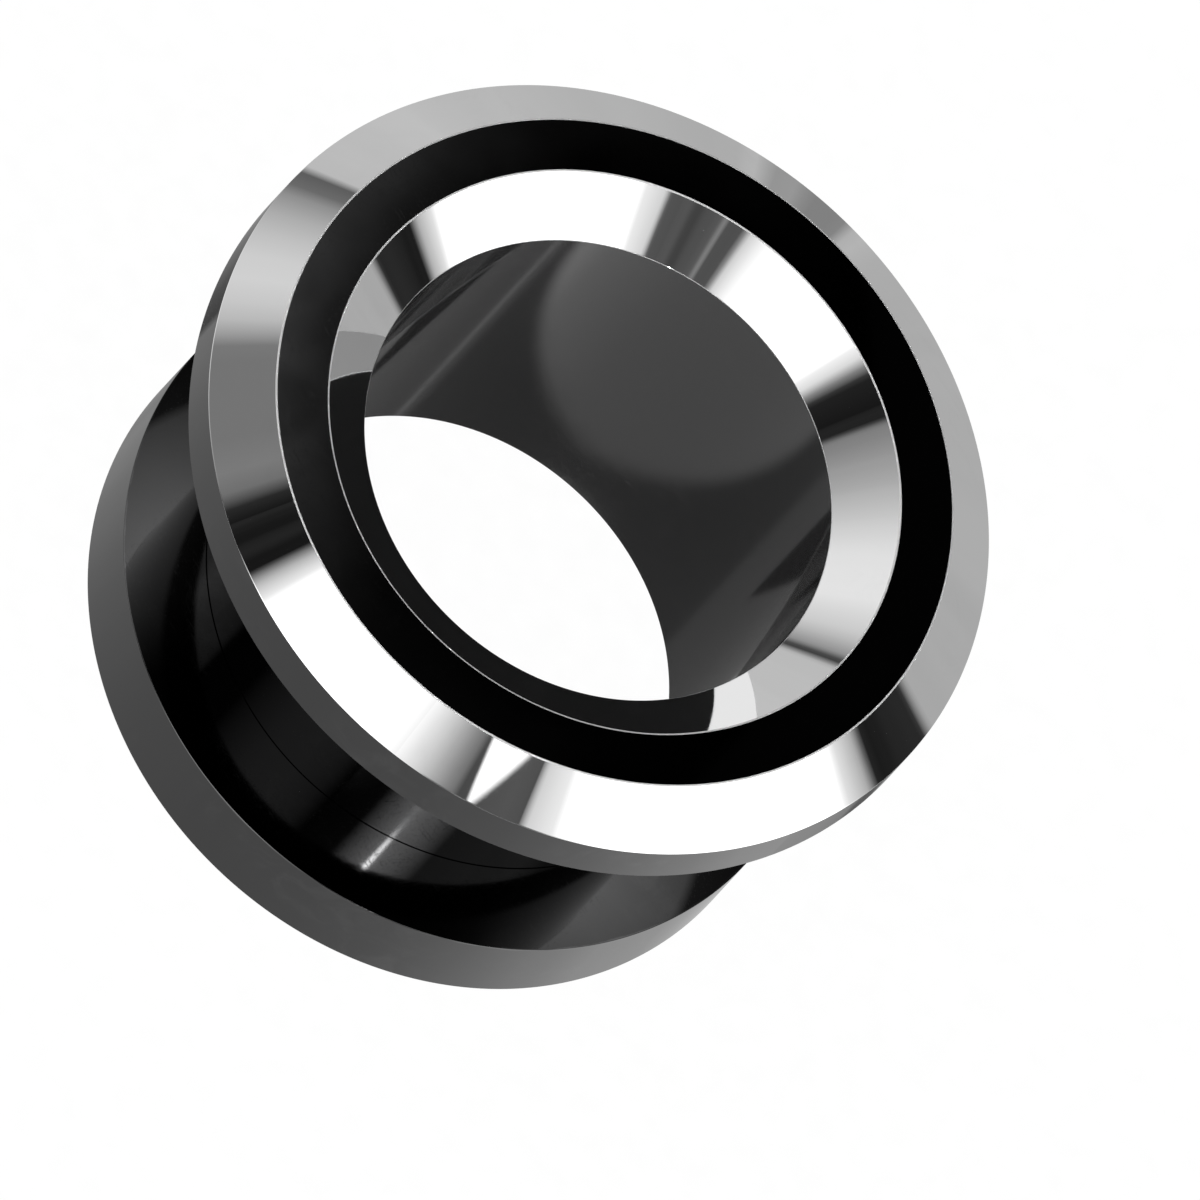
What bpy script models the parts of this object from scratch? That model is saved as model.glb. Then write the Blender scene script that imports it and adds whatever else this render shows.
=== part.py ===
"""A screw-fit ear tunnel: a flanged barrel, and the threaded ring that closes its back.

Metres, +Z up. The tunnel lies on the flat back face of its ring, which is the plane z = 0, with
its axis on Z and its bevelled front flange on top. The lobe sits round the barrel, between the
flange and the ring.
"""

import math

import bmesh
import bpy

MM = 0.001
FULL_TURN = 2 * math.pi

# Barrel
BARREL_RADIUS = 8.0 * MM
BORE_RADIUS = 7.06 * MM
LOBE_GAP = 7.93 * MM

# Front flange, whose flat face lies between two bevels
FLANGE_RADIUS = 11.8 * MM
FLANGE_RIM_HEIGHT = 1.49 * MM
FACE_OUTER_RADIUS = 10.23 * MM
FACE_INNER_RADIUS = 8.65 * MM
BEVEL_DEPTH = 1.18 * MM

# Back ring
RING_RADIUS = 10.51 * MM
RING_THICKNESS = 2.65 * MM

# Thread, whose crests pass each other, so that the ring also comes straight off
THREAD_PITCH = 0.5 * MM
THREAD_DEPTH = 0.22 * MM
GROOVE_ROOT_WIDTH = 0.10 * MM
GROOVE_MOUTH_WIDTH = 0.42 * MM
MALE_CREST_RADIUS = 7.60 * MM
CREST_CLEARANCE = 0.08 * MM
RELIEF_HEIGHT = 0.60 * MM
RELIEF_EXTRA_DEPTH = 0.02 * MM
LEAD_IN = 0.24 * MM
CUT_OVERRUN = 0.03 * MM
WELD_DISTANCE = 0.002 * MM

# Seats: the barrel's shoulder sits in the ring's countersink, flush with the ring's front face
SEAT_GAP = 0.04 * MM
BACK_END_RECESS = 0.03 * MM

FACETS = 80
SHARP_ANGLE = math.radians(20)

# Finish: a polished black coating on steel
BLACK_STEEL_COLOUR = (0.035, 0.035, 0.038, 1.0)
RING_STEEL_COLOUR = (0.045, 0.045, 0.048, 1.0)
POLISHED_ROUGHNESS = 0.12


def clear_scene():
    """Removes what the file starts with."""
    for obj in list(bpy.data.objects):
        bpy.data.objects.remove(obj, do_unlink=True)


def new_collection(name):
    """A collection of this name, linked to the scene."""
    collection = bpy.data.collections.new(name)
    bpy.context.scene.collection.children.link(collection)
    return collection


def coated_steel(name, colour):
    """A polished, dark, fully metallic finish."""
    material = bpy.data.materials.new(name)
    material.use_nodes = True
    shader = material.node_tree.nodes["Principled BSDF"]
    shader.inputs["Base Color"].default_value = colour
    shader.inputs["Metallic"].default_value = 1.0
    shader.inputs["Roughness"].default_value = POLISHED_ROUGHNESS
    return material


def profile_object(name, points, collection):
    """A closed outline in the XZ plane, given as (radius, height) pairs."""
    mesh = bpy.data.meshes.new(name)
    corners = [(radius, 0.0, height) for radius, height in points]
    edges = [(i, (i + 1) % len(corners)) for i in range(len(corners))]
    mesh.from_pydata(corners, edges, [])
    obj = bpy.data.objects.new(name, mesh)
    collection.objects.link(obj)
    return obj


def add_screw(obj, turns, pitch):
    """Sweeps the outline round Z, rising by the pitch in each turn."""
    screw = obj.modifiers.new("Screw", "SCREW")
    screw.axis = "Z"
    screw.angle = FULL_TURN * turns
    screw.screw_offset = pitch * turns
    screw.steps = round(FACETS * turns)
    screw.render_steps = screw.steps
    screw.use_merge_vertices = False
    screw.use_smooth_shade = False


def evaluated_mesh(obj, name):
    """The object's mesh with its modifiers applied."""
    graph = bpy.context.evaluated_depsgraph_get()
    mesh = bpy.data.meshes.new_from_object(obj.evaluated_get(graph))
    mesh.name = name
    return mesh


def thread_groove(name, root_radius, outward, first_height, turns, collection):
    """One V groove with a flat root, as a closed helical bar that is cut away.

    The bar's root lies at root_radius. It widens away from the root, outwards on a male thread
    (outward = 1) and inwards on a female one (outward = -1), and ends just past the crests.
    """
    slope = (GROOVE_MOUTH_WIDTH - GROOVE_ROOT_WIDTH) / 2 / THREAD_DEPTH
    reach = THREAD_DEPTH + CUT_OVERRUN
    root_half = GROOVE_ROOT_WIDTH / 2
    mouth_half = root_half + slope * reach
    mouth_radius = root_radius + outward * reach
    outline = [
        (root_radius, first_height - root_half),
        (mouth_radius, first_height - mouth_half),
        (mouth_radius, first_height + mouth_half),
        (root_radius, first_height + root_half),
    ]
    bar = profile_object(name + "_outline", outline, collection)
    add_screw(bar, turns, THREAD_PITCH)
    mesh = evaluated_mesh(bar, name)
    bpy.data.objects.remove(bar, do_unlink=True)

    shape = bmesh.new()
    shape.from_mesh(mesh)
    ends = [edge for edge in shape.edges if edge.is_boundary]
    bmesh.ops.holes_fill(shape, edges=ends, sides=len(outline))
    bmesh.ops.recalc_face_normals(shape, faces=shape.faces)
    shape.to_mesh(mesh)
    shape.free()

    cutter = bpy.data.objects.new(name, mesh)
    cutter.hide_render = True
    cutter.display_type = "WIRE"
    collection.objects.link(cutter)
    return cutter


def cut_and_dress(blank, name, cutter, material, collection):
    """Cuts the groove from the turned blank and makes the result the named piece."""
    cut = blank.modifiers.new("Cut thread", "BOOLEAN")
    cut.operation = "DIFFERENCE"
    cut.solver = "EXACT"
    cut.object = cutter
    mesh = evaluated_mesh(blank, name)
    shape = bmesh.new()
    shape.from_mesh(mesh)
    bmesh.ops.remove_doubles(shape, verts=shape.verts, dist=WELD_DISTANCE)
    bmesh.ops.dissolve_degenerate(shape, edges=shape.edges, dist=WELD_DISTANCE)
    shape.to_mesh(mesh)
    shape.free()
    mesh.shade_smooth()
    mesh.set_sharp_from_angle(angle=SHARP_ANGLE)
    mesh.materials.clear()
    mesh.materials.append(material)
    bpy.data.objects.remove(blank, do_unlink=True)
    piece = bpy.data.objects.new(name, mesh)
    collection.objects.link(piece)
    return piece


def flanged_barrel_outline():
    """The barrel's outline: down its outer side from the front face, and back up the bore."""
    shoulder = RING_THICKNESS
    flange_back = RING_THICKNESS + LOBE_GAP
    rim_top = flange_back + FLANGE_RIM_HEIGHT
    front = rim_top + BEVEL_DEPTH
    relief_radius = MALE_CREST_RADIUS - THREAD_DEPTH - RELIEF_EXTRA_DEPTH
    relief_bottom = shoulder - RELIEF_HEIGHT
    relief_ramp = MALE_CREST_RADIUS - relief_radius
    return [
        (FACE_INNER_RADIUS, front),
        (FACE_OUTER_RADIUS, front),
        (FLANGE_RADIUS, rim_top),
        (FLANGE_RADIUS, flange_back),
        (BARREL_RADIUS, flange_back),
        (BARREL_RADIUS, shoulder),
        (relief_radius, shoulder),
        (relief_radius, relief_bottom + relief_ramp / 2),
        (MALE_CREST_RADIUS, relief_bottom),
        (MALE_CREST_RADIUS, BACK_END_RECESS + LEAD_IN),
        (MALE_CREST_RADIUS - LEAD_IN, BACK_END_RECESS),
        (BORE_RADIUS, BACK_END_RECESS),
        (BORE_RADIUS, rim_top),
    ]


def back_ring_outline():
    """The ring's outline: down its rim from the front face, and back up the threaded hole."""
    hole_radius = MALE_CREST_RADIUS + CREST_CLEARANCE
    countersink_radius = BARREL_RADIUS + SEAT_GAP
    countersink_depth = countersink_radius - hole_radius
    return [
        (countersink_radius, RING_THICKNESS),
        (RING_RADIUS, RING_THICKNESS),
        (RING_RADIUS, 0.0),
        (hole_radius + LEAD_IN, 0.0),
        (hole_radius, LEAD_IN),
        (hole_radius, RING_THICKNESS - countersink_depth),
    ]


def make_flanged_barrel(pieces, cutters):
    """The front flange, the barrel and the male thread, turned from one bar."""
    blank = profile_object("flanged_barrel_blank", flanged_barrel_outline(), pieces)
    add_screw(blank, 1, 0.0)
    first_height = BACK_END_RECESS - THREAD_PITCH / 2
    last_height = RING_THICKNESS - RELIEF_HEIGHT / 2
    turns = math.floor((last_height - first_height) / THREAD_PITCH * FACETS) / FACETS
    root_radius = MALE_CREST_RADIUS - THREAD_DEPTH
    groove = thread_groove("male_groove", root_radius, 1, first_height, turns, cutters)
    steel = coated_steel("black steel", BLACK_STEEL_COLOUR)
    return cut_and_dress(blank, "flanged_barrel", groove, steel, pieces)


def make_back_ring(pieces, cutters):
    """The ring with its female thread, which runs right through."""
    blank = profile_object("back_ring_blank", back_ring_outline(), pieces)
    add_screw(blank, 1, 0.0)
    first_height = -THREAD_PITCH
    last_height = RING_THICKNESS + THREAD_PITCH
    turns = math.ceil((last_height - first_height) / THREAD_PITCH * FACETS) / FACETS
    root_radius = MALE_CREST_RADIUS + CREST_CLEARANCE + THREAD_DEPTH
    groove = thread_groove("female_groove", root_radius, -1, first_height, turns, cutters)
    steel = coated_steel("black ring steel", RING_STEEL_COLOUR)
    return cut_and_dress(blank, "back_ring", groove, steel, pieces)


def main():
    """Builds the two pieces at rest, the barrel screwed home in its ring."""
    clear_scene()
    pieces = new_collection("ear_tunnel")
    cutters = new_collection("cutters")
    cutters.hide_render = True
    tunnel = bpy.data.objects.new("ear_tunnel", None)
    pieces.objects.link(tunnel)
    for piece in (make_back_ring(pieces, cutters), make_flanged_barrel(pieces, cutters)):
        piece.parent = tunnel


main()
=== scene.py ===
"""Looks of a screw-fit ear tunnel: polished steel under a black coating, with bare bevels.

Metres, +Z up. The tunnel lies on its ring with its axis on Z. Each piece is turned from a drawn
outline, gets its thread cut, and is dressed in procedural finishes. The studio is a luminous pale
floor under a ring of softboxes, and the camera looks down on the bevelled flange.
"""

import logging
import math
from collections.abc import Callable
from dataclasses import dataclass
from enum import Enum

import bpy
from mathutils import Matrix, Vector


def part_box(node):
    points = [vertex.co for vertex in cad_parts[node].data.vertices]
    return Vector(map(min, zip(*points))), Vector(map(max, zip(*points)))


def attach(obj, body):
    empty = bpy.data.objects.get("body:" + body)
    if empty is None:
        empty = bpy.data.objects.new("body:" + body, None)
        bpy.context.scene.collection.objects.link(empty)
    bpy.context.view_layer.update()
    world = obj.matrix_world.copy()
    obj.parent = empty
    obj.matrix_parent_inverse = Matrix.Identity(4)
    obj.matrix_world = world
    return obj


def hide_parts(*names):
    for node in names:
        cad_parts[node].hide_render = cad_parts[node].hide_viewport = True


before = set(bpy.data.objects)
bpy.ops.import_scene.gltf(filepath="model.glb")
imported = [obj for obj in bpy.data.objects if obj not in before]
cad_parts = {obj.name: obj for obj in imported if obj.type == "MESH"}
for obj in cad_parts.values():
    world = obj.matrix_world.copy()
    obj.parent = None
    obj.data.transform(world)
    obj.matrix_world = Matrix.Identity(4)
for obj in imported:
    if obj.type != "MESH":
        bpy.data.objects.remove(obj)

LOG = logging.getLogger("ear_tunnel")

MM = 0.001
MICRON = 0.000001
FULL_TURN = 2 * math.pi

Colour = tuple[float, float, float, float]
Levels = tuple[tuple[float, float], ...]
Socket = bpy.types.NodeSocket
FaceTest = Callable[[float, float, Vector], bool]


class ThreadSide(Enum):
    """The way a thread's groove opens, as the sign of its step from root to mouth."""

    MALE = 1
    FEMALE = -1


def grey(value: float, blue_shift: float = 0.0) -> Colour:
    """A near neutral colour, a little bluer by the shift."""
    return (value, value, value + blue_shift, 1.0)


def outward_at(angle: float) -> Vector:
    """The level direction at an angle from the camera's side towards +X."""
    return Vector((math.sin(angle), -math.cos(angle), 0))


def deselect_all() -> None:
    """Leaves object mode with nothing selected."""
    if bpy.context.object and bpy.context.object.mode != "OBJECT":
        bpy.ops.object.mode_set(mode="OBJECT")
    bpy.ops.object.select_all(action="DESELECT")


def activate(piece: bpy.types.Object) -> None:
    """Selects one object alone, as the active one."""
    deselect_all()
    piece.select_set(True)
    bpy.context.view_layer.objects.active = piece


@dataclass(frozen=True)
class NodeGraph:
    """Short ways to add nodes to a tree and to link them."""

    tree: bpy.types.NodeTree

    def feed(self, node: bpy.types.Node, key: str | int, value: object) -> None:
        """Feeds one input of a node.

        Args:
            node: The node.
            key: The input's name or index.
            value: An output socket to link, or a plain value to set.
        """
        if isinstance(value, Socket):
            self.tree.links.new(value, node.inputs[key])
        else:
            node.inputs[key].default_value = value

    def add(self, kind: str, inputs: dict | None = None, **settings: object) -> bpy.types.Node:
        """Adds a node.

        Args:
            kind: The node's type, such as "ShaderNodeMath".
            inputs: A value or an output socket for each input, by name or index.
            settings: The node's own properties.

        Returns:
            The new node.
        """
        node = self.tree.nodes.new(kind)
        for name, value in settings.items():
            setattr(node, name, value)
        for key, value in (inputs or {}).items():
            self.feed(node, key, value)
        return node

    def group(self, name: str, inputs: dict) -> Socket:
        """The first output of a node group that is placed with these inputs."""
        return self.add("ShaderNodeGroup", inputs, node_tree=bpy.data.node_groups[name]).outputs[0]

    def math(self, operation: str, *values: float | Socket) -> Socket:
        """A Math node's result for these operands."""
        return self.add("ShaderNodeMath", dict(enumerate(values)), operation=operation).outputs[0]

    def ramp_between(self, value: Socket, low: float | Socket, high: float | Socket) -> Socket:
        """A smooth step that is 0 at low and 1 at high."""
        inputs = {"Value": value, "From Min": low, "From Max": high}
        return self.add("ShaderNodeMapRange", inputs, interpolation_type="SMOOTHSTEP").outputs[0]

    def fall_between(self, value: Socket, low: float | Socket, high: float | Socket) -> Socket:
        """A smooth step that is 1 at low and 0 at high."""
        return self.math("SUBTRACT", 1.0, self.ramp_between(value, low, high))

    def span(self, value: Socket, from_low: float, from_high: float,
             to_low: float, to_high: float) -> Socket:
        """The value carried straight from one range to another, and held at its ends."""
        inputs = {"Value": value, "From Min": from_low, "From Max": from_high,
                  "To Min": to_low, "To Max": to_high}
        return self.add("ShaderNodeMapRange", inputs).outputs[0]

    def steps(self, value: Socket, levels: Levels) -> Socket:
        """The value carried straight from each level to the next.

        Args:
            value: The value to carry.
            levels: Pairs of a value and the level there, in order.

        Returns:
            The level for the value.
        """
        result = levels[0][1]
        for (start, low), (end, high) in zip(levels, levels[1:]):
            result = self.math("ADD", result, self.span(value, start, end, 0.0, high - low))
        return result

    def mix(self, factor: float | Socket, first: float | Socket, second: float | Socket) -> Socket:
        """A blend of two numbers."""
        inputs = {0: factor, 2: first, 3: second}
        return self.add("ShaderNodeMix", inputs, data_type="FLOAT").outputs[0]

    def mix_colour(self, factor: Socket, first: Colour | Socket, second: Colour | Socket) -> Socket:
        """A blend of two colours."""
        inputs = {0: factor, 6: first, 7: second}
        return self.add("ShaderNodeMix", inputs, data_type="RGBA").outputs[2]

    def place(self) -> Socket:
        """The place on the object, in its own coordinates."""
        return self.add("ShaderNodeTexCoord").outputs["Object"]

    def parts(self, vector: Socket) -> tuple[Socket, Socket, Socket]:
        """The vector's X, Y and Z."""
        return tuple(self.add("ShaderNodeSeparateXYZ", {0: vector}).outputs)

    def join(self, *parts: float | Socket) -> Socket:
        """The vector with this X, Y and Z."""
        return self.add("ShaderNodeCombineXYZ", dict(enumerate(parts))).outputs[0]

    def length(self, vector: Socket) -> Socket:
        """The vector's length."""
        return self.add("ShaderNodeVectorMath", {0: vector}, operation="LENGTH").outputs["Value"]

    def hypotenuse(self, first: Socket, second: Socket) -> Socket:
        """The long side over two sides at right angles."""
        squares = [self.math("MULTIPLY", side, side) for side in (first, second)]
        return self.math("SQRT", self.math("ADD", *squares))

    def angle_round(self, x: Socket, y: Socket) -> Socket:
        """The angle round the axis, in degrees from the camera's side towards +X."""
        towards = self.math("MULTIPLY", y, -1.0)
        return self.math("DEGREES", self.math("ARCTAN2", x, towards))

    def noise(self, vector: Socket, scale: float, **inputs: float) -> Socket:
        """A noise that varies with the vector, with the node's other inputs by name."""
        return self.add("ShaderNodeTexNoise", {"Vector": vector, "Scale": scale, **inputs}).outputs[0]


def new_material(name: str) -> tuple[bpy.types.Material, NodeGraph]:
    """Makes a material whose own glow, if it has one, is not sampled as a lamp.

    Args:
        name: The material's name.

    Returns:
        The material and the graph of its nodes.
    """
    material = bpy.data.materials.new(name)
    material.use_nodes = True
    material.cycles.emission_sampling = "NONE"
    return material, NodeGraph(material.node_tree)


@dataclass(frozen=True)
class EffectGroup:
    """Makes the node groups that the finishes share.

    A span is the pair of noise values between which a mark fades in.
    """

    turning: str = "turning_marks"
    hairlines: str = "polishing_hairlines"
    smears: str = "wiping_smears"
    edge: str = "edge_wear"
    scratch_axis: tuple[float, float, float] = (0.31, 0.24, 0.92)
    scratch_turns: tuple[float, float, float] = (0.35, 1.42, 2.61)
    scratch_span: tuple[float, float] = (0.66, 0.72)
    wisp_span: tuple[float, float] = (0.45, 0.72)
    cloud_scale: float = 0.35
    cloud_span: tuple[float, float] = (0.42, 0.66)
    wear_scale: float = 1.1 / MM
    wear_span: tuple[float, float] = (0.35, 0.70)
    wear_least: float = 0.2
    wear_core: float = 0.3

    def start(self, name: str, numbers: tuple[str, ...],
              output: str) -> tuple[NodeGraph, dict[str, Socket], bpy.types.Node]:
        """Starts a group that takes a vector and some numbers, and puts out one number.

        Args:
            name: The group's name.
            numbers: The names of the numbers it takes.
            output: The name of the number it puts out.

        Returns:
            The group's graph, what it takes by name, and its output node.
        """
        tree = bpy.data.node_groups.new(name, "ShaderNodeTree")
        tree.interface.new_socket(name="Vector", in_out="INPUT", socket_type="NodeSocketVector")
        for title in numbers:
            tree.interface.new_socket(name=title, in_out="INPUT", socket_type="NodeSocketFloat")
        tree.interface.new_socket(name=output, in_out="OUTPUT", socket_type="NodeSocketFloat")
        graph = NodeGraph(tree)
        taken = graph.add("NodeGroupInput").outputs
        given = {title: taken[title] for title in ("Vector", *numbers)}
        return graph, given, graph.add("NodeGroupOutput")

    def build_turning(self) -> None:
        """Fine lines that run round the axis, as the lathe and the wheel leave them."""
        graph, given, end = self.start(self.turning, ("Pitch",), "Height")
        x, y, height = graph.parts(given["Vector"])
        radius = graph.hypotenuse(x, y)
        around = [graph.math("DIVIDE", value, radius) for value in (x, y)]
        across = [graph.math("DIVIDE", value, given["Pitch"]) for value in (radius, height)]
        inputs = {"Vector": graph.join(*across, around[0]), "W": around[1],
                  "Scale": 1.0, "Detail": 2.0}
        noise = graph.add("ShaderNodeTexNoise", inputs, noise_dimensions="4D")
        graph.feed(end, "Height", noise.outputs[0])

    def build_hairlines(self) -> None:
        """Sparse straight scratches in three directions."""
        graph, given, end = self.start(self.hairlines, ("Length", "Spacing"), "Mask")
        mask = 0.0
        for turn in self.scratch_turns:
            inputs = {"Vector": given["Vector"], "Axis": self.scratch_axis, "Angle": turn}
            rotated = graph.add("ShaderNodeVectorRotate", inputs, rotation_type="AXIS_ANGLE")
            x, y, z = graph.parts(rotated.outputs[0])
            along = graph.math("DIVIDE", x, given["Length"])
            across = [graph.math("DIVIDE", value, given["Spacing"]) for value in (y, z)]
            lines = graph.noise(graph.join(along, *across), 1.0, Detail=1.0)
            mask = graph.math("MAXIMUM", mask, graph.ramp_between(lines, *self.scratch_span))
        graph.feed(end, "Mask", mask)

    def build_smears(self) -> None:
        """Soft clouds, drawn out as a cloth leaves them."""
        graph, given, end = self.start(self.smears, ("Size",), "Mask")
        inputs = {0: given["Vector"], "Scale": graph.math("DIVIDE", 1.0, given["Size"])}
        scaled = graph.add("ShaderNodeVectorMath", inputs, operation="SCALE").outputs[0]
        broad = graph.noise(scaled, self.cloud_scale, Detail=2.0)
        fine = graph.noise(scaled, 1.0, Detail=6.0, Roughness=0.62, Distortion=1.4)
        wisps = graph.ramp_between(fine, *self.wisp_span)
        clouds = graph.ramp_between(broad, *self.cloud_span)
        graph.feed(end, "Mask", graph.math("MULTIPLY", wisps, clouds))

    def build_edge(self) -> None:
        """A ragged band along one turned edge, given by its radius and height."""
        graph, given, end = self.start(self.edge, ("Edge Radius", "Edge Height", "Width"), "Mask")
        x, y, height = graph.parts(given["Vector"])
        aside = graph.math("SUBTRACT", graph.hypotenuse(x, y), given["Edge Radius"])
        above = graph.math("SUBTRACT", height, given["Edge Height"])
        rags = graph.noise(given["Vector"], self.wear_scale, Detail=4.0)
        share = graph.span(rags, *self.wear_span, self.wear_least, 1.0)
        reach = graph.math("MULTIPLY", given["Width"], share)
        near = graph.math("DIVIDE", graph.hypotenuse(aside, above), reach)
        graph.feed(end, "Mask", graph.fall_between(near, self.wear_core, 1.0))

    def build(self) -> None:
        """Builds all four groups."""
        self.build_turning()
        self.build_hairlines()
        self.build_smears()
        self.build_edge()


@dataclass(frozen=True)
class Finish:
    """A metal finish of the tunnel, with its marks.

    The pitch and depth are those of its turning marks. Smears and scratches dull it by the
    amounts given, and lift its colour towards the worn one. Edges pair the radius and the height
    of each turned edge that it is worn along.
    """

    name: str
    colour: Colour
    worn_colour: Colour
    roughness: float
    smear_roughness: float
    smear_tint: float
    scratch_roughness: float
    smear_size: float = 1.3 * MM
    scratch_length: float = 1.6 * MM
    scratch_spacing: float = 0.05 * MM
    scratch_depth: float = 0.010 * MICRON
    turning_pitch: float = 0.11 * MM
    turning_depth: float = 0.010 * MICRON
    edges: Levels = ()
    edge_width: float = 0.10 * MM
    edge_tint: float = 0.35
    metallic: float = 1.0
    ior: float = 1.5

    def build(self, groups: EffectGroup) -> bpy.types.Material:
        """Builds the material.

        Args:
            groups: The effect groups that it places.

        Returns:
            The material.
        """
        material, graph = new_material(self.name)
        shader = material.node_tree.nodes["Principled BSDF"]
        place = graph.place()
        smear = graph.group(groups.smears, {"Vector": place, "Size": self.smear_size})
        scratch = graph.group(groups.hairlines, {"Vector": place, "Length": self.scratch_length,
                                                 "Spacing": self.scratch_spacing})
        turning = graph.group(groups.turning, {"Vector": place, "Pitch": self.turning_pitch})

        tint = graph.math("MULTIPLY", smear, self.smear_tint)
        for radius, height in self.edges:
            wear = graph.group(groups.edge, {"Vector": place, "Edge Radius": radius,
                                             "Edge Height": height, "Width": self.edge_width})
            tint = graph.math("MAXIMUM", tint, graph.math("MULTIPLY", wear, self.edge_tint))
        dulled = graph.math("MULTIPLY_ADD", smear, self.smear_roughness, self.roughness)
        dulled = graph.math("MULTIPLY_ADD", scratch, self.scratch_roughness, dulled)
        lines = graph.add("ShaderNodeBump", {"Height": turning, "Distance": self.turning_depth})
        cuts = graph.add("ShaderNodeBump", {"Height": scratch, "Distance": self.scratch_depth,
                                            "Normal": lines.outputs[0]}, invert=True)

        graph.feed(shader, "Base Color", graph.mix_colour(tint, self.colour, self.worn_colour))
        graph.feed(shader, "Roughness", dulled)
        graph.feed(shader, "Metallic", self.metallic)
        graph.feed(shader, "IOR", self.ior)
        graph.feed(shader, "Normal", cuts.outputs[0])
        return material


@dataclass(frozen=True)
class Corner:
    """A corner of a turned outline.

    The rounding is how far back along its two sides it starts, and steps are its facets.
    """

    radius: float
    height: float
    rounding: float = 0.0
    steps: int = 5


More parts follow.
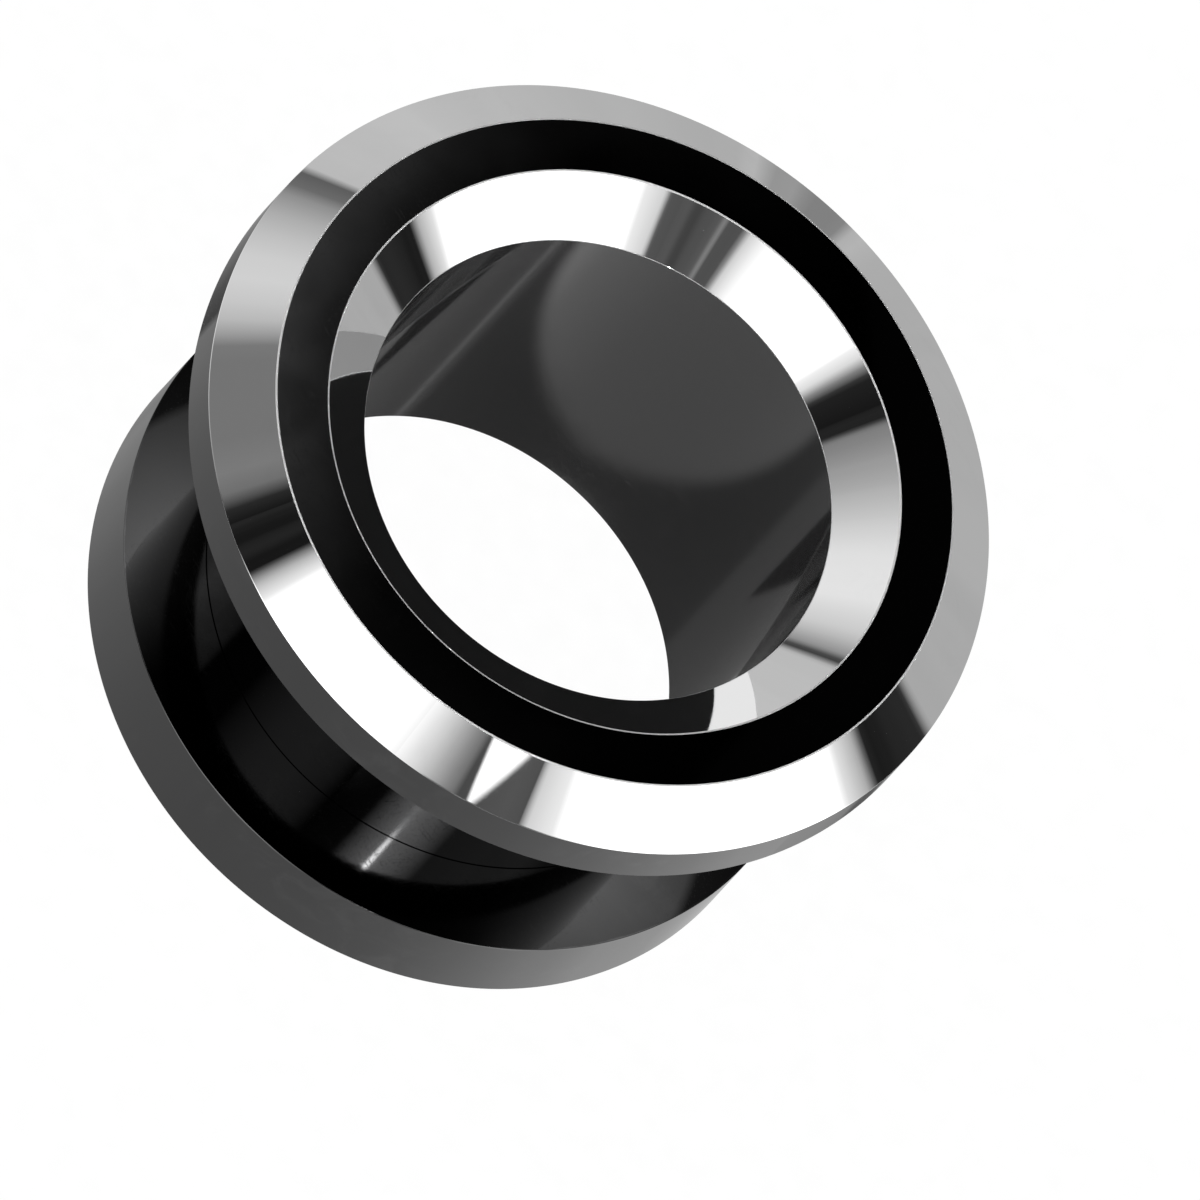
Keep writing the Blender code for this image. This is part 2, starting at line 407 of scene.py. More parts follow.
@dataclass
class TurnedPiece:
    """A piece turned round Z from an outline of corners."""

    name: str
    body: str
    node: str
    slot: str = "black_coated_steel"
    facets: int = 256
    weld: float = 0.2 * MICRON
    smooth_angle: float = math.radians(32)
    support: float = 1.2

    def supported(self, corners: list[Corner]) -> list[Corner]:
        """Adds a point on each side of the rounded corners, so that flats shade flat.

        Args:
            corners: The corners in order.

        Returns:
            The corners and the added points, in order.
        """
        points = []
        for index, corner in enumerate(corners):
            place = Vector((corner.radius, corner.height))
            sides = [corners[index - 1], corners[(index + 1) % len(corners)]]
            ways = [(Vector((side.radius, side.height)) - place).normalized() for side in sides]
            reach = corner.rounding * self.support + MICRON
            supports = [Corner(*(place + way * reach)) for way in ways if corner.rounding]
            points += [*supports[:1], corner, *supports[1:]]
        return points

    def draw(self, name: str, corners: list[Corner]) -> bpy.types.Object:
        """Draws the closed outline in the XZ plane, with its corners rounded.

        Args:
            name: The new object's name.
            corners: The corners in order.

        Returns:
            The outline, as edges alone.
        """
        deselect_all()
        points = self.supported(corners)
        first = points[0]
        bpy.ops.mesh.primitive_plane_add(size=MM, location=(first.radius, 0, first.height))
        outline = bpy.context.object
        outline.name = outline.data.name = name
        bpy.ops.object.transform_apply(location=True)
        bpy.ops.object.mode_set(mode="EDIT")
        bpy.ops.mesh.select_mode(type="VERT")
        bpy.ops.mesh.merge(type="CENTER")
        for last, point in zip(points, points[1:]):
            step = (point.radius - last.radius, 0, point.height - last.height)
            bpy.ops.mesh.extrude_vertices_move(TRANSFORM_OT_translate={"value": step})
        bpy.ops.mesh.select_all(action="SELECT")
        bpy.ops.mesh.edge_face_add()
        for corner in corners:
            if corner.rounding:
                self.round_corner(outline, corner)
        bpy.ops.mesh.select_all(action="SELECT")
        bpy.ops.mesh.delete(type="ONLY_FACE")
        return outline

    def round_corner(self, outline: bpy.types.Object, corner: Corner) -> None:
        """Rounds one corner of the outline, which stays in edit mode.

        Args:
            outline: The outline, in edit mode.
            corner: The corner to round.
        """
        bpy.ops.mesh.select_all(action="DESELECT")
        bpy.ops.object.mode_set(mode="OBJECT")
        target = Vector((corner.radius, 0, corner.height))
        for vertex in outline.data.vertices:
            vertex.select = (vertex.co - target).length < MICRON
        bpy.ops.object.mode_set(mode="EDIT")
        bpy.ops.mesh.bevel(offset_type="OFFSET", offset=corner.rounding, segments=corner.steps,
                           profile=0.5, affect="VERTICES", clamp_overlap=False)

    def turn(self) -> bpy.types.Object:
        """Spins the piece's outline into a closed solid whose faces point outwards.

        Returns:
            The solid.
        """
        piece = self.draw(self.name, self.outline())
        bpy.ops.mesh.select_all(action="SELECT")
        bpy.ops.mesh.spin(steps=self.facets, angle=FULL_TURN, center=(0, 0, 0), axis=(0, 0, 1))
        bpy.ops.mesh.select_all(action="SELECT")
        bpy.ops.mesh.remove_doubles(threshold=self.weld)
        bpy.ops.mesh.normals_make_consistent(inside=False)
        bpy.ops.object.mode_set(mode="OBJECT")
        return piece

    def outline(self) -> list[Corner]:
        """The piece's outline, in order."""
        raise NotImplementedError

    def cut(self, piece: bpy.types.Object, cutter: bpy.types.Object, weld: float) -> None:
        """Cuts a groove out of the piece and removes the cutter.

        Args:
            piece: The piece to cut.
            cutter: The closed bar to cut away.
            weld: The distance within which points of the cut are joined.
        """
        activate(piece)
        bpy.ops.object.modifier_add(type="BOOLEAN")
        boolean = piece.modifiers[-1]
        boolean.operation = "DIFFERENCE"
        boolean.solver = "EXACT"
        boolean.object = cutter
        bpy.ops.object.modifier_apply(modifier=boolean.name)
        bpy.data.objects.remove(cutter, do_unlink=True)
        bpy.ops.object.mode_set(mode="EDIT")
        bpy.ops.mesh.select_all(action="SELECT")
        bpy.ops.mesh.remove_doubles(threshold=weld)
        bpy.ops.mesh.dissolve_degenerate(threshold=weld)
        bpy.ops.mesh.normals_make_consistent(inside=False)
        bpy.ops.object.mode_set(mode="OBJECT")

    def dress(self, piece: bpy.types.Object, material: bpy.types.Material,
              chosen: FaceTest) -> None:
        """Gives the faces that a test picks a material of their own.

        Args:
            piece: The piece to dress.
            material: The material to add.
            chosen: Tells a face by the radius and height of its middle and by its normal.
        """
        piece.data.materials.append(material)
        piece.active_material_index = len(piece.data.materials) - 1
        bpy.ops.object.mode_set(mode="EDIT")
        bpy.ops.mesh.select_mode(type="FACE")
        bpy.ops.mesh.select_all(action="DESELECT")
        bpy.ops.object.mode_set(mode="OBJECT")
        for face in piece.data.polygons:
            middle = face.center
            face.select = chosen(math.hypot(middle.x, middle.y), middle.z, face.normal)
        bpy.ops.object.mode_set(mode="EDIT")
        bpy.ops.object.material_slot_assign()
        bpy.ops.object.mode_set(mode="OBJECT")

    def is_any(self, radius: float, height: float, normal: Vector) -> bool:
        """Tells every face."""
        return True

    def place(self, piece: bpy.types.Object) -> bpy.types.Object:
        """Shades the flats flat and the rounds smooth, and rides the piece in its node's place.

        Args:
            piece: The dressed piece.

        Returns:
            The same piece.
        """
        activate(piece)
        bpy.ops.object.shade_smooth_by_angle(angle=self.smooth_angle)
        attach(piece, self.body)
        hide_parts(self.node)
        return piece


@dataclass(frozen=True)
class Thread:
    """A V thread with flat crests and roots."""

    pitch: float = 0.5 * MM
    depth: float = 0.22 * MM
    root_width: float = 0.10 * MM
    mouth_width: float = 0.42 * MM
    overrun: float = 0.03 * MM
    facets: int = 160
    weld: float = 1.0 * MICRON

    def cutter(self, piece: TurnedPiece, root_radius: float, side: ThreadSide,
               first_height: float, turns: float) -> bpy.types.Object:
        """A helical bar that leaves this groove when it is cut away.

        Args:
            piece: The piece whose drawing method is used.
            root_radius: The radius of the groove's root.
            side: Male for a groove that opens outwards, and female for one that opens inwards.
            first_height: The height where the bar starts.
            turns: How many turns it makes.

        Returns:
            The bar, closed at both ends.
        """
        slope = (self.mouth_width - self.root_width) / 2 / self.depth
        reach = self.depth + self.overrun
        root_half = self.root_width / 2
        mouth_half = root_half + slope * reach
        mouth_radius = root_radius + side.value * reach
        corners = [Corner(root_radius, first_height - root_half),
                   Corner(mouth_radius, first_height - mouth_half),
                   Corner(mouth_radius, first_height + mouth_half),
                   Corner(root_radius, first_height + root_half)]
        bar = piece.draw(piece.name + "_groove", corners)
        bpy.ops.object.mode_set(mode="OBJECT")
        bpy.ops.object.modifier_add(type="SCREW")
        screw = bar.modifiers[-1]
        screw.axis = "Z"
        screw.angle = FULL_TURN * turns
        screw.screw_offset = self.pitch * turns
        screw.steps = screw.render_steps = round(self.facets * turns)
        screw.use_merge_vertices = False
        bpy.ops.object.modifier_apply(modifier=screw.name)
        bpy.ops.object.mode_set(mode="EDIT")
        bpy.ops.mesh.select_mode(type="EDGE")
        bpy.ops.mesh.select_all(action="DESELECT")
        bpy.ops.mesh.select_non_manifold()
        bpy.ops.mesh.fill_holes(sides=len(corners))
        bpy.ops.mesh.select_all(action="SELECT")
        bpy.ops.mesh.normals_make_consistent(inside=False)
        bpy.ops.object.mode_set(mode="OBJECT")
        return bar


@dataclass
class FlangedBarrel(TurnedPiece):
    """The front flange with its bevels, the barrel and the male thread behind it.

    A rise is the upward part of a face's normal: walls rise less than the first, the bevels about
    as much as the second, and flats more than the last.
    """

    barrel_radius: float = 8.0 * MM
    bore_radius: float = 7.06 * MM
    face_outer_radius: float = 10.23 * MM
    face_inner_radius: float = 8.65 * MM
    bevel_depth: float = 1.18 * MM
    inner_bevel_depth: float = 1.23 * MM
    rim_height: float = 1.49 * MM
    shoulder_height: float = 2.65 * MM
    crest_radius: float = 7.60 * MM
    relief_height: float = 0.60 * MM
    relief_extra: float = 0.02 * MM
    lead_in: float = 0.24 * MM
    edge: float = 0.014 * MM
    face_edge: float = 0.028 * MM
    thread: Thread = Thread()
    wall_rise: float = 0.04
    bevel_rise: float = 0.80
    rise_slack: float = 0.03
    flat_rise: float = 0.998

    def __post_init__(self) -> None:
        """Reads the outer sizes from the frame."""
        low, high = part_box(self.node)
        self.flange_radius = high.x
        self.front = high.z
        self.back_end = low.z
        self.mouth = self.front - self.inner_bevel_depth
        self.rim_top = self.front - self.bevel_depth
        self.flange_back = self.rim_top - self.rim_height
        self.relief_radius = self.crest_radius - self.thread.depth - self.relief_extra
        self.relief_bottom = self.shoulder_height - self.relief_height

    @property
    def outer_bevel(self) -> tuple[Corner, Corner]:
        """The outer bevel's two edges, from the face out."""
        return (Corner(self.face_outer_radius, self.front),
                Corner(self.flange_radius, self.rim_top))

    @property
    def rim(self) -> tuple[Corner, Corner]:
        """The rim's two edges, from the bevel down."""
        return (Corner(self.flange_radius, self.rim_top),
                Corner(self.flange_radius, self.flange_back))

    @property
    def inner_bevel(self) -> tuple[Corner, Corner]:
        """The inner bevel's two edges, from the bore's mouth up."""
        return Corner(self.bore_radius, self.mouth), Corner(self.face_inner_radius, self.front)

    def outline(self) -> list[Corner]:
        """The outline, down the outer side from the front face and back up the bore."""
        edge = self.edge
        ramp = (self.crest_radius - self.relief_radius) / 2
        return [
            Corner(self.face_inner_radius, self.front, self.face_edge),
            Corner(self.face_outer_radius, self.front, self.face_edge),
            Corner(self.flange_radius, self.rim_top, edge),
            Corner(self.flange_radius, self.flange_back, edge),
            Corner(self.barrel_radius, self.flange_back, 2 * edge),
            Corner(self.barrel_radius, self.shoulder_height, edge / 2, 3),
            Corner(self.relief_radius, self.shoulder_height, edge, 3),
            Corner(self.relief_radius, self.relief_bottom + ramp, edge, 3),
            Corner(self.crest_radius, self.relief_bottom, edge / 2, 3),
            Corner(self.crest_radius, self.back_end + self.lead_in, edge / 2, 3),
            Corner(self.crest_radius - self.lead_in, self.back_end, edge, 3),
            Corner(self.bore_radius, self.back_end, 1.5 * edge),
            Corner(self.bore_radius, self.mouth, edge),
        ]

    def is_bevel(self, radius: float, height: float, normal: Vector) -> bool:
        """Tells the two bevels and the fine rounds along them."""
        above = height > self.rim_top - 3 * self.edge
        return above and self.wall_rise < normal.z < self.flat_rise

    def is_worn_edge(self, radius: float, height: float, normal: Vector) -> bool:
        """Tells the fine rounds along the front face and the bore's mouth, which are worn."""
        if radius < self.bore_radius + self.edge:
            steepest = self.bevel_rise - self.rise_slack
            return height > self.mouth - self.edge and self.wall_rise < normal.z < steepest
        levelled = self.bevel_rise + self.rise_slack < normal.z < self.flat_rise
        return height > self.front - self.face_edge and levelled

    def is_thread(self, radius: float, height: float, normal: Vector) -> bool:
        """Tells the threaded end, from under its relief to its lead-in."""
        inside = self.bore_radius + 3 * self.edge < radius
        return inside and self.back_end + self.edge < height < self.relief_bottom + self.edge

    def is_bore(self, radius: float, height: float, normal: Vector) -> bool:
        """Tells the wall of the bore."""
        return radius < self.bore_radius + self.edge / 2

    def build(self, black: bpy.types.Material, bare: bpy.types.Material, cut: bpy.types.Material,
              bore: bpy.types.Material, worn: bpy.types.Material) -> bpy.types.Object:
        """Models, dresses and places the piece.

        Args:
            black: The coating of all that isn't named below.
            bare: The finish of the bevels.
            cut: The finish of the thread.
            bore: The finish of the bore's wall.
            worn: The finish of the worn edges.

        Returns:
            The finished piece.
        """
        piece = self.turn()
        first = self.back_end - self.thread.pitch / 2
        last = self.shoulder_height - self.relief_height / 2
        turns = (last - first) / self.thread.pitch
        root = self.crest_radius - self.thread.depth
        groove = self.thread.cutter(self, root, ThreadSide.MALE, first, turns)
        self.cut(piece, groove, self.thread.weld)
        for material, chosen in ((black, self.is_any), (bare, self.is_bevel), (cut, self.is_thread),
                                 (bore, self.is_bore), (worn, self.is_worn_edge)):
            self.dress(piece, material, chosen)
        return self.place(piece)


@dataclass
class BackRing(TurnedPiece):
    """The flat ring whose female thread takes the barrel."""

    barrel_radius: float = 8.0 * MM
    seam: float = 0.018 * MM
    hole_radius: float = 7.68 * MM
    lead_in: float = 0.24 * MM
    edge: float = 0.02 * MM
    thread: Thread = Thread()

    def __post_init__(self) -> None:
        """Reads the outer sizes from the frame."""
        low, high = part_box(self.node)
        self.ring_radius = high.x
        self.front = high.z
        self.back = low.z
        self.seat_radius = self.barrel_radius + self.seam
        self.seat_bottom = self.front - (self.seat_radius - self.hole_radius)

    def outline(self) -> list[Corner]:
        """The outline, down the rim from the front face and back up the hole."""
        return [
            Corner(self.seat_radius, self.front, self.edge / 5, 3),
            Corner(self.ring_radius, self.front, self.edge),
            Corner(self.ring_radius, self.back, self.edge),
            Corner(self.hole_radius + self.lead_in, self.back, self.edge, 3),
            Corner(self.hole_radius, self.back + self.lead_in, self.edge / 2, 3),
            Corner(self.hole_radius, self.seat_bottom, self.edge / 2, 3),
        ]

    def is_thread(self, radius: float, height: float, normal: Vector) -> bool:
        """Tells the threaded hole and its lead-in."""
        inside = radius < self.hole_radius + self.lead_in
        return inside and self.back + self.edge / 2 < height < self.seat_bottom

    def build(self, black: bpy.types.Material, cut: bpy.types.Material) -> bpy.types.Object:
        """Models, dresses and places the piece.

        Args:
            black: The coating of all but the hole.
            cut: The finish of the threaded hole.

        Returns:
            The finished piece.
        """
        piece = self.turn()
        first = self.back - self.thread.pitch
        turns = (self.front - self.back + 2 * self.thread.pitch) / self.thread.pitch
        root = self.hole_radius + self.thread.depth
        groove = self.thread.cutter(self, root, ThreadSide.FEMALE, first, turns)
        self.cut(piece, groove, self.thread.weld)
        self.dress(piece, black, self.is_any)
        self.dress(piece, cut, self.is_thread)
        return self.place(piece)


@dataclass(frozen=True)
class Panel:
    """One panel of light in the ring round the tunnel.

    Azimuths are in degrees from the camera's side towards +X. The light runs evenly from the
    first radiance to the last, and blends into the next panel across the gap between them.
    """

    name: str
    start: float
    end: float
    radiance: float
    end_radiance: float | None = None

    @property
    def stops(self) -> Levels:
        """The azimuth and the radiance at each end."""
        last = self.radiance if self.end_radiance is None else self.end_radiance
        return (self.start, self.radiance), (self.end, last)


LOW_LEFT = (
    Panel("back glow edge", -180.0, -178.3, 0.27),
    Panel("back glow step", -177.3, -175.7, 0.39, 0.37),
    Panel("back glow ridge", -174.3, -174.0, 0.59),
    Panel("back glow", -173.2, -144.0, 0.53, 0.68),
    Panel("left sweep", -143.0, -126.8, 0.70, 0.66),
    Panel("slit", -125.3, -124.6, 0.06),
    Panel("left fill start", -123.0, -119.5, 0.39, 0.66),
    Panel("left fill", -117.0, -109.0, 0.82, 1.05),
    Panel("left fade", -106.0, -98.0, 1.06, 1.02),
    Panel("left fade middle", -95.0, -80.0, 0.97, 0.61),
    Panel("left fade end", -78.0, -61.5, 0.55, 0.27),
    Panel("left flag", -59.4, -46.8, 0.014, 0.010),
    Panel("key edge", -43.4, -40.0, 0.70, 1.15),
    Panel("key left", -36.0, 0.0, 2.30),
)

LOW_RIGHT = (
    Panel("key right", 0.0, 6.5, 2.30, 1.60),
    Panel("key fade", 10.0, 16.2, 1.34, 0.86),
    Panel("key end", 18.2, 18.4, 0.30),
    Panel("right dim", 19.6, 24.6, 0.10),
    Panel("right streak", 25.8, 26.3, 0.28),
    Panel("right dim middle", 27.6, 33.0, 0.13, 0.09),
    Panel("right dark streak", 35.0, 36.8, 0.058),
    Panel("right dim end", 39.0, 45.6, 0.10, 0.12),
    Panel("side edge", 47.6, 53.5, 0.88, 1.14),
    Panel("side softbox", 58.5, 109.5, 2.30),
    Panel("side fade", 113.0, 116.6, 1.05, 0.60),
    Panel("right flag", 118.6, 128.6, 0.012),
    Panel("right glow", 130.4, 146.0, 0.52, 0.53),
    Panel("right sweep", 148.5, 176.6, 0.55, 0.53),
    Panel("right ridge", 178.0, 178.5, 0.59),
    Panel("back glow", 179.2, 180.0, 0.29, 0.27),
)

TOP_LEFT = (
    Panel("back", -180.0, -126.0, 0.012),
    Panel("left wing", -120.0, -104.0, 1.40, 1.50),
    Panel("left top", -95.0, -68.0, 2.75, 1.15),
    Panel("top flag", -64.5, -45.5, 0.06, 0.10),
    Panel("top key edge", -41.0, -26.0, 0.70, 2.15),
    Panel("top key", -20.0, -8.0, 2.55, 2.75),
    Panel("top key end", -4.0, 0.0, 2.50, 2.20),
)

TOP_RIGHT = (
    Panel("top key end", 0.0, 4.5, 2.20, 1.65),
    Panel("top gap", 10.5, 23.0, 0.12, 0.28),
    Panel("top side", 60.0, 76.0, 1.50, 1.65),
    Panel("top side far", 80.0, 94.0, 1.50, 1.40),
    Panel("right wing", 106.0, 119.0, 0.48, 0.43),
    Panel("back", 126.0, 180.0, 0.012),
)

UNDER_LEFT = (
    Panel("back bounce", -180.0, -160.0, 0.26, 0.32),
    Panel("left bounce edge", -152.0, -128.0, 0.41, 0.51),
    Panel("left bounce", -112.0, -80.0, 0.60, 0.70),
    Panel("near bounce", -64.0, 0.0, 0.75, 0.83),
)

UNDER_RIGHT = (
    Panel("near bounce", 0.0, 48.0, 0.83, 0.93),
    Panel("right bounce", 64.0, 80.0, 1.04, 1.15),
    Panel("right bounce end", 96.0, 120.0, 1.20, 1.05),
    Panel("right bounce edge", 128.0, 144.0, 0.92, 0.69),
    Panel("back bounce", 152.0, 180.0, 0.64, 0.54),
)


@dataclass(frozen=True)
class Lighting:
    """The studio's light, as seen in each direction from the tunnel."""

    brightest: float = 2.80
    backdrop: float = 0.80
    band_top: float = 53.0
    band_slope: float = -0.30
    band_start: float = 66.0
    band_feather: float = 2.0
    band_bottom: float = -36.0
    lamp_start: float = 25.5
    lamp_peak: float = 40.0
    lamp_end: float = 59.0
    lamp_radiance: float = 25.0
    lamp_elevation: float = 56.0
    lamp_half_height: float = 1.6
    haze: float = 0.03
    haze_scale: float = 5.0
    haze_span: tuple[float, float] = (0.4, 0.7)

    def band(self, graph: NodeGraph, azimuth: Socket, panels: tuple[Panel, ...]) -> Socket:
        """The radiance of half a ring of panels.

        Args:
            graph: The world's graph.
            azimuth: The azimuth in degrees.
            panels: The panels in order.

        Returns:
            The radiance.
        """
        levels = [stop for panel in panels for stop in panel.stops]
        first, last = levels[0][0], levels[-1][0]
        place = graph.span(azimuth, first, last, 0.0, 1.0)
        ramp = graph.add("ShaderNodeValToRGB", {0: place})
        stops = ramp.color_ramp.elements
        for degrees, _ in levels[1:-1]:
            stops.new((degrees - first) / (last - first))
        for stop, (_, radiance) in zip(stops, levels):
            stop.color = grey(radiance / self.brightest)
        return graph.math("MULTIPLY", ramp.outputs["Color"], self.brightest)

    def ring(self, graph: NodeGraph, azimuth: Socket, left: tuple[Panel, ...],
             right: tuple[Panel, ...]) -> Socket:
        """The radiance all round, from its left and right halves."""
        halves = [self.band(graph, azimuth, panels) for panels in (left, right)]
        return graph.mix(graph.math("GREATER_THAN", azimuth, 0.0), *halves)

    def lamp(self, graph: NodeGraph, azimuth: Socket, elevation: Socket) -> Socket:
        """The radiance of the bare lamp, a level bar that is brightest in its middle.

        Args:
            graph: The world's graph.
            azimuth: The azimuth in degrees.
            elevation: The elevation in degrees.

        Returns:
            The radiance.
        """
        glow = graph.steps(azimuth, ((self.lamp_start, 0.0), (self.lamp_peak, self.lamp_radiance),
                                     (self.lamp_end, 0.0)))
        above = graph.math("ABSOLUTE", graph.math("SUBTRACT", elevation, self.lamp_elevation))
        level = graph.fall_between(above, self.lamp_half_height / 2, self.lamp_half_height)
        return graph.math("MULTIPLY", glow, level)

    def build(self) -> None:
        """Builds the world."""
        world = bpy.data.worlds.new("studio")
        bpy.context.scene.world = world
        world.use_nodes = True
        world.cycles.sampling_method = "NONE"
        world.node_tree.nodes.clear()
        graph = NodeGraph(world.node_tree)
        direction = graph.add("ShaderNodeTexCoord").outputs["Generated"]
        x, y, rise = graph.parts(direction)
        azimuth = graph.angle_round(x, y)
        elevation = graph.math("DEGREES", graph.math("ARCSINE", rise))

        aside = graph.math("ABSOLUTE", azimuth)
        limit = graph.math("MULTIPLY_ADD", aside, self.band_slope, self.band_start)
        limit = graph.math("MINIMUM", limit, self.band_top)
        top = graph.math("ADD", limit, self.band_feather)
        low = self.ring(graph, azimuth, LOW_LEFT, LOW_RIGHT)
        high = self.ring(graph, azimuth, TOP_LEFT, TOP_RIGHT)
        high = graph.math("ADD", high, self.lamp(graph, azimuth, elevation))
        light = graph.mix(graph.ramp_between(elevation, limit, top), low, high)
        under = self.ring(graph, azimuth, UNDER_LEFT, UNDER_RIGHT)
        is_under = graph.math("LESS_THAN", elevation, self.band_bottom)
        light = graph.mix(is_under, light, under)
        clouds = graph.noise(direction, self.haze_scale, Detail=3.0, Distortion=0.8)
        light = graph.math("ADD", light, graph.span(clouds, *self.haze_span, 0.0, self.haze))

        camera_ray = graph.add("ShaderNodeLightPath").outputs["Is Camera Ray"]
        seen = graph.mix(camera_ray, light, self.backdrop)
        background = graph.add("ShaderNodeBackground", {"Color": seen})
        output = graph.add("ShaderNodeOutputWorld", {"Surface": background.outputs[0]})
        output.is_active_output = True


@dataclass(frozen=True)
class Floor:
    """A luminous pale floor, which the camera sees and the mirrors don't."""

    radius: float = 1.4
    segments: int = 96
    pool_radius: float = 60 * MM
    pool_end: float = 0.5
    pool_glow: float = 0.985
    far_glow: float = 0.88
    albedo: float = 0.02
    roughness: float = 0.9
    grain_scale: float = 1.2 / MM
    grain_span: tuple[float, float] = (0.3, 0.7)
    grain_levels: tuple[float, float] = (0.992, 1.008)

    def build(self) -> None:
        """Builds the floor and its material."""
        deselect_all()
        bpy.ops.mesh.primitive_circle_add(vertices=self.segments, radius=self.radius,
                                          fill_type="NGON")
        floor = bpy.context.object
        floor.name = floor.data.name = "studio_floor"
        floor.visible_glossy = False
        material, graph = new_material("pale_floor")
        shader = material.node_tree.nodes["Principled BSDF"]
        place = graph.place()
        fade = graph.ramp_between(graph.length(place), self.pool_radius, self.pool_end)
        grain = graph.noise(place, self.grain_scale)
        grain = graph.span(grain, *self.grain_span, *self.grain_levels)
        glow = graph.math("MULTIPLY", graph.mix(fade, self.pool_glow, self.far_glow), grain)
        graph.feed(shader, "Base Color", grey(self.albedo))
        graph.feed(shader, "Roughness", self.roughness)
        graph.feed(shader, "Specular IOR Level", 0.0)
        graph.feed(shader, "Emission Color", grey(1.0))
        graph.feed(shader, "Emission Strength", glow)
        floor.data.materials.append(material)


@dataclass(frozen=True)
class Card:
    """A small card of light near the tunnel, seen in its mirrors alone."""

    name: str

    def glow(self, graph: NodeGraph) -> Socket:
        """The card's radiance."""
        raise NotImplementedError

    def light_up(self, card: bpy.types.Object) -> None:
        """Gives the card its light and hides it from all but the mirrors.

        Args:
            card: The card's mesh.
        """
        card.name = card.data.name = self.name
        card.visible_camera = card.visible_diffuse = card.visible_shadow = False
        card.visible_transmission = card.visible_volume_scatter = False
        material, graph = new_material(self.name + "_light")
        graph.tree.nodes.clear()
        light = graph.add("ShaderNodeEmission", {"Strength": self.glow(graph)})
        graph.add("ShaderNodeOutputMaterial", {"Surface": light.outputs[0]})
        card.data.materials.append(material)


@dataclass(frozen=True)
class MirrorCard(Card):
    """A card that only one band of the tunnel sees, over a range of angles round it.

    Levels pair an angle round the axis, in degrees from the camera's side, with a radiance. The
    wedge is a white V across the band, given by its two sides' angles at the band's start and at
    its end.
    """

    levels: Levels = ()
    wedge: tuple[float, float, float, float] | None = None
    wedge_radiance: float = 1.6
    wedge_feather: float = 0.35
    distance: float = 60 * MM
    overhang: float = 0.7
    columns: int = 24

    def build(self, start: Corner, end: Corner, sight: Vector) -> None:
        """Lays the card where the band mirrors it.

        Args:
            start: The corner of the outline where the band starts.
            end: The next corner, where it ends.
            sight: The direction from the tunnel to the camera.
        """
        deselect_all()
        bpy.ops.mesh.primitive_grid_add(x_subdivisions=self.columns, y_subdivisions=2, size=1)
        card = bpy.context.object
        run, rise = end.radius - start.radius, end.height - start.height
        tilt = Vector((-rise, run)).normalized()
        first, last = self.levels[0][0], self.levels[-1][0]
        for vertex in card.data.vertices:
            angle = math.radians(first + (last - first) * (vertex.co.x + 0.5))
            across = (vertex.co.y + 0.5) * (1 + 2 * self.overhang) - self.overhang
            outward = outward_at(angle)
            normal = outward * tilt.x + Vector((0, 0, tilt.y))
            place = outward * (start.radius + run * across)
            place.z = start.height + rise * across
            vertex.co = place + (2 * sight.dot(normal) * normal - sight) * self.distance
        self.light_up(card)

    def glow(self, graph: NodeGraph) -> Socket:
        """The levels along the card, with the wedge across it.

        Args:
            graph: The card's graph.

        Returns:
            The radiance.
        """
        along, up, _ = graph.parts(graph.add("ShaderNodeUVMap").outputs[0])
        angle = graph.span(along, 0.0, 1.0, self.levels[0][0], self.levels[-1][0])
        glow = graph.steps(angle, self.levels)
        if self.wedge:
            across = graph.span(up, 0.0, 1.0, -self.overhang, 1 + self.overhang)
            left, right, left_tip, right_tip = self.wedge
            near = graph.math("MULTIPLY_ADD", across, left_tip - left, left)
            far = graph.math("MULTIPLY_ADD", across, right_tip - right, right)
            soft = self.wedge_feather
            past = graph.ramp_between(graph.math("SUBTRACT", angle, near), -soft, soft)
            short = graph.ramp_between(graph.math("SUBTRACT", far, angle), -2 * soft, 2 * soft)
            glow = graph.mix(graph.math("MULTIPLY", past, short), glow, self.wedge_radiance)
        return glow


